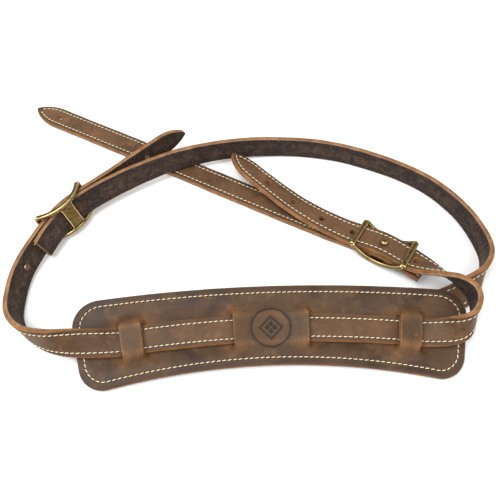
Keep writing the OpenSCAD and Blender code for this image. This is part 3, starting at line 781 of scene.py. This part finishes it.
def build_straps():
    """Every length of strap, divided where the joints divide it."""
    l_span, l_flex, l_stud = left_q(LEFT_SPAN_END), left_q(LEFT_FLEX), left_q(LEFT_STUD)
    r_span, r_flex, r_stud = right_q(RIGHT_SPAN_END), right_q(RIGHT_FLEX), right_q(RIGHT_STUD)
    l_holes = [l_stud - k * HOLE_PITCH for k in LEFT_HOLES]
    r_holes = [r_stud + k * HOLE_PITCH for k in RIGHT_HOLES]

    def inside(holes, a, b):
        return [h for h in holes if min(a, b) < h < max(a, b)]

    length_of_strap("woven_strap", "woven_strap", "centre", CENTRE, SLOT_1, SLOT_6, on("pad"))
    length_of_strap("left_span", "left_span", "centre", CENTRE, l_span, SLOT_1,
                    across_joint("pad", "strap", CENTRE, SLOT_1, l_span))
    length_of_strap("right_span", "right_span", "centre", CENTRE, SLOT_6, r_span,
                    across_joint("pad", "strap", CENTRE, SLOT_6, r_span))
    length_of_strap("left_arm", "left_arm", "centre", CENTRE, l_flex, l_span, on("strap"),
                    inside(l_holes, l_flex, l_span), HOLE_R, [l_stud])
    length_of_strap("right_arm", "right_arm", "centre", CENTRE, r_span, r_flex, on("strap"),
                    inside(r_holes, r_flex, r_span), HOLE_R, [r_stud])
    length_of_strap("left_tip", "left_tip", "centre", CENTRE, 0, l_flex,
                    across_joint("strap", "left_tip", CENTRE, l_flex, l_flex - 14),
                    inside(l_holes, 0, l_flex))
    length_of_strap("right_tip", "right_tip", "centre", CENTRE, r_flex, CENTRE.end,
                    across_joint("strap", "right_tip", CENTRE, r_flex, r_flex + 14),
                    inside(r_holes, r_flex, CENTRE.end))
    length_of_strap("long_tail", "long_tail", "long", LONG_TAIL, 0, LONG_TAIL.end, on("strap"),
                    [BUTTON_HOLE_INSET], BUTTON_HOLE_R, [long_q(2)])
    s_flex = short_q(SHORT_FLEX)
    length_of_strap("short_tail", "short_tail", "short", SHORT_TAIL, 0, s_flex, on("strap"),
                    [], HOLE_R, [short_q(SHORT_STUD)])
    length_of_strap("button_end", "button_end", "short", SHORT_TAIL, s_flex, SHORT_TAIL.end,
                    across_joint("strap", "button_end", SHORT_TAIL, s_flex, s_flex + 20),
                    [SHORT_TAIL.end - BUTTON_HOLE_INSET], BUTTON_HOLE_R)


build_straps()

# ---- shoulder pad ----


def smooth(x, low, high):
    """0 below low, 1 above high, with an even step between."""
    k = np.clip((x - low) / (high - low), 0, 1)
    return k * k * (3 - 2 * k)


def corner_drop(s, r):
    """How far a rounded corner of radius r falls short of the pad's edge line."""
    e = np.maximum(abs(s) - (PAD_LEN / 2 - r), 0)
    return r - np.sqrt(np.maximum(r * r - e * e, 0))


def top_line(s):
    """Upper edge of the pad, as an offset from its middle arc."""
    return 30.2 + 1.6 * (s / 100) ** 2


def bottom_line(s):
    """Lower edge of the pad, as an offset from its middle arc."""
    return -24.7 - 3.5 * (s / 100) ** 2


def zone_rise(s, zone):
    """Rise of the leather in one part of the pad: 0 wide bridge, 1 window, 2 narrow bridge, 3 outer end."""
    if zone == 0:
        return BRIDGE_LIFT - LOGO_RELAX * relax(s)
    if zone == 1:
        return np.full_like(s, -WINDOW_DROP)
    if zone == 2:
        return np.full_like(s, BRIDGE_LIFT)
    out = (abs(s) - SLOTS[2]) / DENT_LEN
    return -WINDOW_DROP * np.maximum(0, 1 - out**2)


def zone_of(s):
    return np.searchsorted(SLOTS, abs(s))


def past(s, at, width):
    """Share of the way past a slot, changing over a width."""
    return 0.5 + 0.5 * np.tanh((abs(s) - at) / width)


def leather_rise(s, r, zone):
    """Rise of the pad's leather: it lies close on the strap and comes together past the slots' ends."""
    width = 0.4 + 0.55 * np.maximum(abs(r) - SLOT_HALF, 0)
    steps = [past(s, at, width) for at in SLOTS]
    share = [1 - steps[0], steps[0] - steps[1], steps[1] - steps[2], steps[2]]
    near = np.minimum(abs(s), SLOTS[0] - 0.01)
    far = np.maximum(abs(s), SLOTS[2])
    shared = sum(w * zone_rise(q, i) for i, (w, q) in enumerate(zip(share, (near, s, s, far))))
    over = 1 - smooth(abs(r), 9.0, 20)
    hugging = 1 - smooth(abs(r), 9.4, SLOT_HALF)
    own = np.select([zone == i for i in range(4)], [zone_rise(s, i) for i in range(4)])
    return (shared + (own - shared) * hugging) * over


def edge_distance(s, r):
    """Distance from a point of the pad to its outline."""
    ends = PAD_LEN / 2 - abs(s)
    found = np.minimum(ends, np.minimum(top_line(s) - r, r - bottom_line(s)))
    for line, radius, sign in ((top_line(s), UPPER_CORNER, 1), (bottom_line(s), LOWER_CORNER, -1)):
        ex = abs(s) - (PAD_LEN / 2 - radius)
        ey = sign * (r - line) + radius
        corner = radius - np.hypot(ex, ey)
        found = np.where((ex > 0) & (ey > 0), corner, found)
    return found


def mark_depth(s, r):
    """A plain stamped ring with a lozenge and four dots in it."""
    rho = np.hypot(s, r)
    ring = np.exp(-((rho - MARK_R) / 0.85) ** 2)
    halo = 0.3 * np.exp(-((rho - MARK_R - 2.1) / 0.5) ** 2)
    lozenge = np.exp(-((abs(s) + abs(r) - 7.6) / 1.0) ** 2)
    petals = 1 - smooth(np.minimum(np.hypot(abs(s) - 2.5, r), np.hypot(s, abs(r) - 2.5)), 1.1, 1.9)
    return ring + halo + lozenge + petals


PAD_RUNS = [(-PAD_LEN / 2, -SLOTS[2], 3), (-SLOTS[2], -SLOTS[1], 2), (-SLOTS[1], -SLOTS[0], 1),
            (-SLOTS[0], SLOTS[0], 0), (SLOTS[0], SLOTS[1], 1), (SLOTS[1], SLOTS[2], 2),
            (SLOTS[2], PAD_LEN / 2, 3)]
EDGE_STEPS = [0, 0.12, 0.35, 0.7, 1.2, 2.0, 3.0, 3.9, 4.4, 4.75, 5.0, 5.25, 5.6, 6.2]


def run_columns(a, b, zone, step):
    """Column positions of one run between slots."""
    if zone == 3:
        edge = [PAD_LEN / 2 - e for e in EDGE_STEPS]
        inner = np.arange(SLOTS[2] + SLOT_GAP / 2, edge[-1] - step / 2, step)
        half = np.concatenate([inner, edge[::-1]])
        return half if a > 0 else -half[::-1]
    low, high = a + SLOT_GAP / 2, b - SLOT_GAP / 2
    if zone == 0 and step < 1:
        return np.linspace(low, high, int((high - low) / 0.5))
    lips = np.array([0, 0.15, 0.4])
    inner = np.linspace(low + 0.9, high - 0.9, max(int((high - low - 1.8) / step), 3))
    return np.concatenate([low + lips, inner, (high - lips)[::-1]])


def pad_rows(s, band_step):
    """Row positions of one column of the pad, and the first and last row of the slots."""
    low, high = bottom_line(s) + corner_drop(s, LOWER_CORNER), top_line(s) - corner_drop(s, UPPER_CORNER)
    band = np.linspace(-SLOT_HALF, SLOT_HALF, int(2 * SLOT_HALF / band_step) + 1)
    lower, upper = margin_rows(-SLOT_HALF - low, band_step), margin_rows(high - SLOT_HALF, band_step)
    return np.concatenate([low + lower, band, high - upper[::-1]]), len(lower), len(lower) + len(band) - 1


def margin_rows(room, step):
    """Distances from the pad's edge inwards, fine at the edge and seam and again near the slots' ends."""
    shrink = min(1, room / 14)
    edge = np.array(EDGE_STEPS) * shrink
    near = room - np.arange(1, 13) * (5.5 * shrink / 12)
    fill = np.linspace(edge[-1], near[-1], int(6.5 / step))[1:-1]
    return np.concatenate([edge, fill, near[::-1]])


def panel_grid(step, band_step):
    """Points of a pad layer as s, r and zone, the zone of each column, and the rows that span the slots."""
    columns, zones = [], []
    for a, b, zone in PAD_RUNS:
        c = run_columns(a, b, zone, step)
        columns.extend(c)
        zones.extend([zone] * len(c))
    rows = [pad_rows(s, band_step) for s in columns]
    r = np.array([row[0] for row in rows])
    s = np.broadcast_to(np.array(columns)[:, None], r.shape)
    zone = np.broadcast_to(np.array(zones)[:, None], r.shape)
    return s, r, zone, zones, rows[0][1:]


def slot_distance(s, r):
    """Distance from a point of the pad to the nearest slot."""
    beyond = np.maximum(abs(r) - SLOT_HALF, 0)
    return np.min([np.hypot(np.maximum(abs(abs(s) - c) - SLOT_GAP / 2, 0), beyond) for c in SLOTS], axis=0)


def panel_heights(s, r, zone, z0, z1, is_face):
    """Lower and upper surface of a pad layer: rounded edges, seam groove, stamped mark and faint ripples."""
    rise = leather_rise(s, r, zone)
    edge = edge_distance(s, r)
    groove = 0.3 * np.exp(-((edge - PAD_SEAM_INSET) / 0.42) ** 2)
    if not is_face:
        return z0 + rise + 0.5 * np.clip(1 - edge / 1.0, 0, 1) ** 2 + 0.5 * groove, z1 + rise
    rounding = 0.9 * np.clip(1 - edge / 1.1, 0, 1) ** 2
    rounding = rounding + 0.35 * np.clip(1 - slot_distance(s, r) / 0.6, 0, 1) ** 2
    ripple = 0.08 * np.sin(s / 7.3) * np.sin(r / 5.1 + 1) + 0.05 * np.sin(s / 3.3 + r / 4.7)
    return z0 + rise, z1 + rise - rounding - groove - 0.5 * mark_depth(s, r) * (zone == 0) + ripple


def panel_faces(shape, zones, band, edge):
    """Faces of a pad layer and their materials: 0 for its surfaces, 1 for cut edges and slot walls."""
    columns, count = shape
    n = columns * count
    gap_columns = {i for i in range(columns - 1) if zones[i] != zones[i + 1]}
    faces, index = [], []

    def leather(c, k):
        if not (0 <= c < columns - 1 and 0 <= k < count - 1):
            return False
        return not (c in gap_columns and band[0] <= k < band[1])

    def add(face, material):
        faces.append(face)
        index.append(material)

    for c in range(columns - 1):
        for k in range(count - 1):
            if not leather(c, k):
                continue
            a, b, d, e = c * count + k, c * count + k + 1, (c + 1) * count + k + 1, (c + 1) * count + k
            near_edge = max(edge.flat[a], edge.flat[b], edge.flat[d], edge.flat[e]) < 0.45
            add([n + a, n + e, n + d, n + b], 1 if near_edge else 0)
            add([a, b, d, e], 0)
            if not leather(c - 1, k):
                add([a, n + a, n + b, b], 1)
            if not leather(c + 1, k):
                add([e, d, n + d, n + e], 1)
            if not leather(c, k - 1):
                add([a, e, n + e, n + a], 1)
            if not leather(c, k + 1):
                add([b, n + b, n + d, d], 1)
    return faces, index


def panel_wear(s, r, zone):
    """Where the pad is pulled light round its slots and edges, where it is pressed or burnt dark, and where
    shade is painted along its seam groove.
    """
    edge, slot_edge = edge_distance(s, r), slot_distance(s, r)
    pull = np.exp(-(slot_edge / 6.5) ** 2) * (0.2 + 0.65 * smooth(abs(r), 4, 12))
    crest = 0.8 * np.exp(-(((abs(r) - 9.8) / 2.2) ** 2)) * np.isin(zone, (0, 2))
    lip = 1.2 * np.exp(-(slot_edge / 0.8) ** 2)
    rub = np.clip(pull + 0.4 * crest + lip + 0.7 * np.exp(-(edge / 0.8) ** 2), 0, 1.2)
    burn = 0.95 * np.clip(mark_depth(s, r), 0, 1) * (zone == 0)
    # darker margin inside the edge
    burn = np.maximum(burn, 0.34 * np.exp(-((edge - 2.2) / 1.9) ** 2))
    # painted shade: a dark line along the seam groove, standing in for the shadow of the stitch holes and the
    # thread
    burn = np.maximum(burn, 0.95 * np.exp(-((edge - PAD_SEAM_INSET) / 0.5) ** 2))
    return rub.ravel(), burn.ravel()


def panel(name, z0, z1, materials, step, band_step, is_face):
    """One leather layer of the pad as a closed mesh with its slots cut."""
    s, r, zone, zones, band = panel_grid(step, band_step)
    flat_s, flat_r = s.ravel(), r.ravel()
    heights = panel_heights(s, r, zone, z0, z1, is_face)
    verts = np.vstack([pad_point(flat_s, flat_r, z.ravel()) for z in heights]) + SHIFT
    faces, index = panel_faces(r.shape, zones, band, edge_distance(s, r))
    rub, burn = panel_wear(s, r, zone)
    return new_object(name, verts, faces, materials, index, rub=np.tile(rub, 2), burn=np.tile(burn, 2))


def pad_seam_line(inset):
    """Closed line a fixed distance inside the pad's outline, as s and r."""
    points = []
    half = PAD_LEN / 2

    def arc(cs, cr, radius, start):
        for k in np.linspace(0, math.pi / 2, 24):
            reach = radius - inset
            points.append((cs + reach * math.cos(start + k), cr + reach * math.sin(start + k)))

    s_up, s_low = half - UPPER_CORNER, half - LOWER_CORNER
    for s in np.linspace(-s_low, s_low, 90):
        points.append((s, bottom_line(s) + inset))
    arc(s_low, bottom_line(s_low) + LOWER_CORNER, LOWER_CORNER, -math.pi / 2)
    arc(s_up, top_line(s_up) - UPPER_CORNER, UPPER_CORNER, 0)
    for s in np.linspace(s_up, -s_up, 90):
        points.append((s, top_line(s) - inset))
    arc(-s_up, top_line(s_up) - UPPER_CORNER, UPPER_CORNER, math.pi / 2)
    arc(-s_low, bottom_line(s_low) + LOWER_CORNER, LOWER_CORNER, math.pi)
    points.append(points[0])
    return np.array(points)


def pad_stitches(z, out_sign):
    """Stitches round the pad on its face or its back."""
    line = pad_seam_line(PAD_SEAM_INSET)
    s, r = line[:, 0], line[:, 1]
    zone = zone_of(s)
    level = z + leather_rise(s, r, zone)
    points = pad_point(s, r, level) + SHIFT
    walked = lengths(points)
    count = round(walked[-1] / STITCH_PITCH)
    zero = np.zeros(1)
    out = unit(pad_point(zero, zero, np.ones(1)) - pad_point(zero, zero, zero))[0]
    rng = random.Random(7 + out_sign)
    found = []
    for i in range(count):
        at = (i + 0.5) * walked[-1] / count + rng.uniform(-STITCH_WANDER, STITCH_WANDER)
        centre = np.array([np.interp(at, walked, points[:, k]) for k in range(3)])
        ahead = np.array([np.interp(at + 0.6, walked, points[:, k]) for k in range(3)])
        behind = np.array([np.interp(at - 0.6, walked, points[:, k]) for k in range(3)])
        found.append((centre, slanted(unit(ahead - behind), out, rng), out_sign * out))
    return found


def build_pad():
    """Both layers of the pad and its thread."""
    face = panel("pad_grain", PAD_PLY, PAD_T, [PAD_LEATHER, PAD_EDGE], 0.9, 0.5, True)
    lining = panel("pad_flesh", 0, PAD_PLY, [FLESH, LINING_EDGE], 2.0, 1.2, False)
    cream = thread_object("pad_stitches", pad_stitches(PAD_T - 0.22, 1), CREAM_THREAD, FACE_STITCH)
    dark = thread_object("pad_back_stitches", pad_stitches(0.08, -1), DARK_THREAD, BACK_STITCH)
    slots = ("pad_leather", "lining_leather", "thread", "thread")
    for piece, slot in zip((face, lining, cream, dark), slots):
        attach(piece, "pad")
    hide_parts("pad_face")
    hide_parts("pad_lining")
    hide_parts("pad_seam_thread")


build_pad()

# ---- buckles ----


def cast_buckle(name, node):
    """Softened casting made from the CAD buckle, with fillets where its bars and rails meet."""
    source = NODES[node]
    obj = bpy.data.objects.new(name, source.data.copy())
    bpy.context.collection.objects.link(obj)
    remesh = obj.modifiers.new("remesh", "REMESH")
    remesh.mode = "VOXEL"
    remesh.voxel_size = 0.26 * MM
    soften = obj.modifiers.new("soften", "SMOOTH")
    soften.factor = 0.5
    soften.iterations = 3
    swell = obj.modifiers.new("swell", "DISPLACE")
    swell.mid_level = 0.0
    swell.strength = 0.2 * MM
    bake(obj)
    mesh = obj.data
    mesh.materials.clear()
    mesh.materials.append(BRASS)
    mesh.polygons.foreach_set("use_smooth", [True] * len(mesh.polygons))
    paint_wear(mesh)
    mesh.update()
    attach(obj, node)
    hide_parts(node)
    return obj


def paint_wear(mesh):
    """Marks outward edges as rubbed and hollows as dark, from how the surface turns at each point."""
    count = len(mesh.vertices)
    co = np.zeros(count * 3)
    no = np.zeros(count * 3)
    mesh.vertices.foreach_get("co", co)
    mesh.vertices.foreach_get("normal", no)
    co, no = co.reshape(-1, 3), no.reshape(-1, 3)
    edges = np.zeros(len(mesh.edges) * 2, int)
    mesh.edges.foreach_get("vertices", edges)
    a, b = edges.reshape(-1, 2).T
    step = co[b] - co[a]
    bend = np.sum((no[b] - no[a]) * step, axis=1) / np.maximum(np.sum(step * step, axis=1), 1e-12)
    total, hits = np.zeros(count), np.zeros(count)
    for i in (a, b):
        np.add.at(total, i, bend)
        np.add.at(hits, i, 1)
    bend = total / np.maximum(hits, 1)
    for _ in range(4):
        total, hits = bend.copy(), np.ones(count)
        np.add.at(total, a, bend[b])
        np.add.at(total, b, bend[a])
        np.add.at(hits, a, 1)
        np.add.at(hits, b, 1)
        bend = total / hits
    rub = np.clip((bend - 260) / 420, 0, 1)
    burn = np.clip((-bend - 60) / 300, 0, 0.9)
    mesh.attributes.new("rub", "FLOAT", "POINT").data.foreach_set("value", rub.astype(np.float32))
    mesh.attributes.new("burn", "FLOAT", "POINT").data.foreach_set("value", burn.astype(np.float32))


cast_buckle("left_buckle_casting", "left_buckle")
cast_buckle("right_buckle_casting", "right_buckle")

# ---- floor, light ----


def add_floor():
    """Plain pale floor."""
    material = bpy.data.materials.new("floor")
    material.use_nodes = True
    shader = material.node_tree.nodes["Principled BSDF"]
    shader.inputs["Base Color"].default_value = (0.9, 0.9, 0.9, 1)
    shader.inputs["Roughness"].default_value = 0.9
    shader.inputs["Specular IOR Level"].default_value = 0.1
    mesh = bpy.data.meshes.new("floor")
    r, z = 3.0, -0.0003
    mesh.from_pydata([(-r, -r, z), (r, -r, z), (r, r, z), (-r, r, z)], [], [(0, 1, 2, 3)])
    mesh.materials.append(material)
    floor = bpy.data.objects.new("floor", mesh)
    bpy.context.collection.objects.link(floor)


def add_area(name, location, target, size, power, color=(1, 1, 1)):
    """Round soft light aimed at a point."""
    data = bpy.data.lights.new(name, "AREA")
    data.shape = "DISK"
    data.size = size
    data.energy = power
    data.color = color
    light = bpy.data.objects.new(name, data)
    light.location = location
    light.rotation_euler = (Vector(target) - Vector(location)).to_track_quat("-Z", "Y").to_euler()
    bpy.context.collection.objects.link(light)


def add_light():
    """White surroundings and two soft lights."""
    world = bpy.data.worlds.new("studio")
    world.use_nodes = True
    world.node_tree.nodes["Background"].inputs["Color"].default_value = (1, 1, 1, 1)
    world.node_tree.nodes["Background"].inputs["Strength"].default_value = 0.75
    bpy.context.scene.world = world
    add_area("softbox", (-0.5, -0.1, 1.1), (0, 0, 0), 0.9, 13)
    add_area("fill", (0.6, -0.5, 0.9), (0, 0, 0), 0.8, 5)
    bpy.context.scene.view_settings.view_transform = "Standard"


add_floor()
add_light()
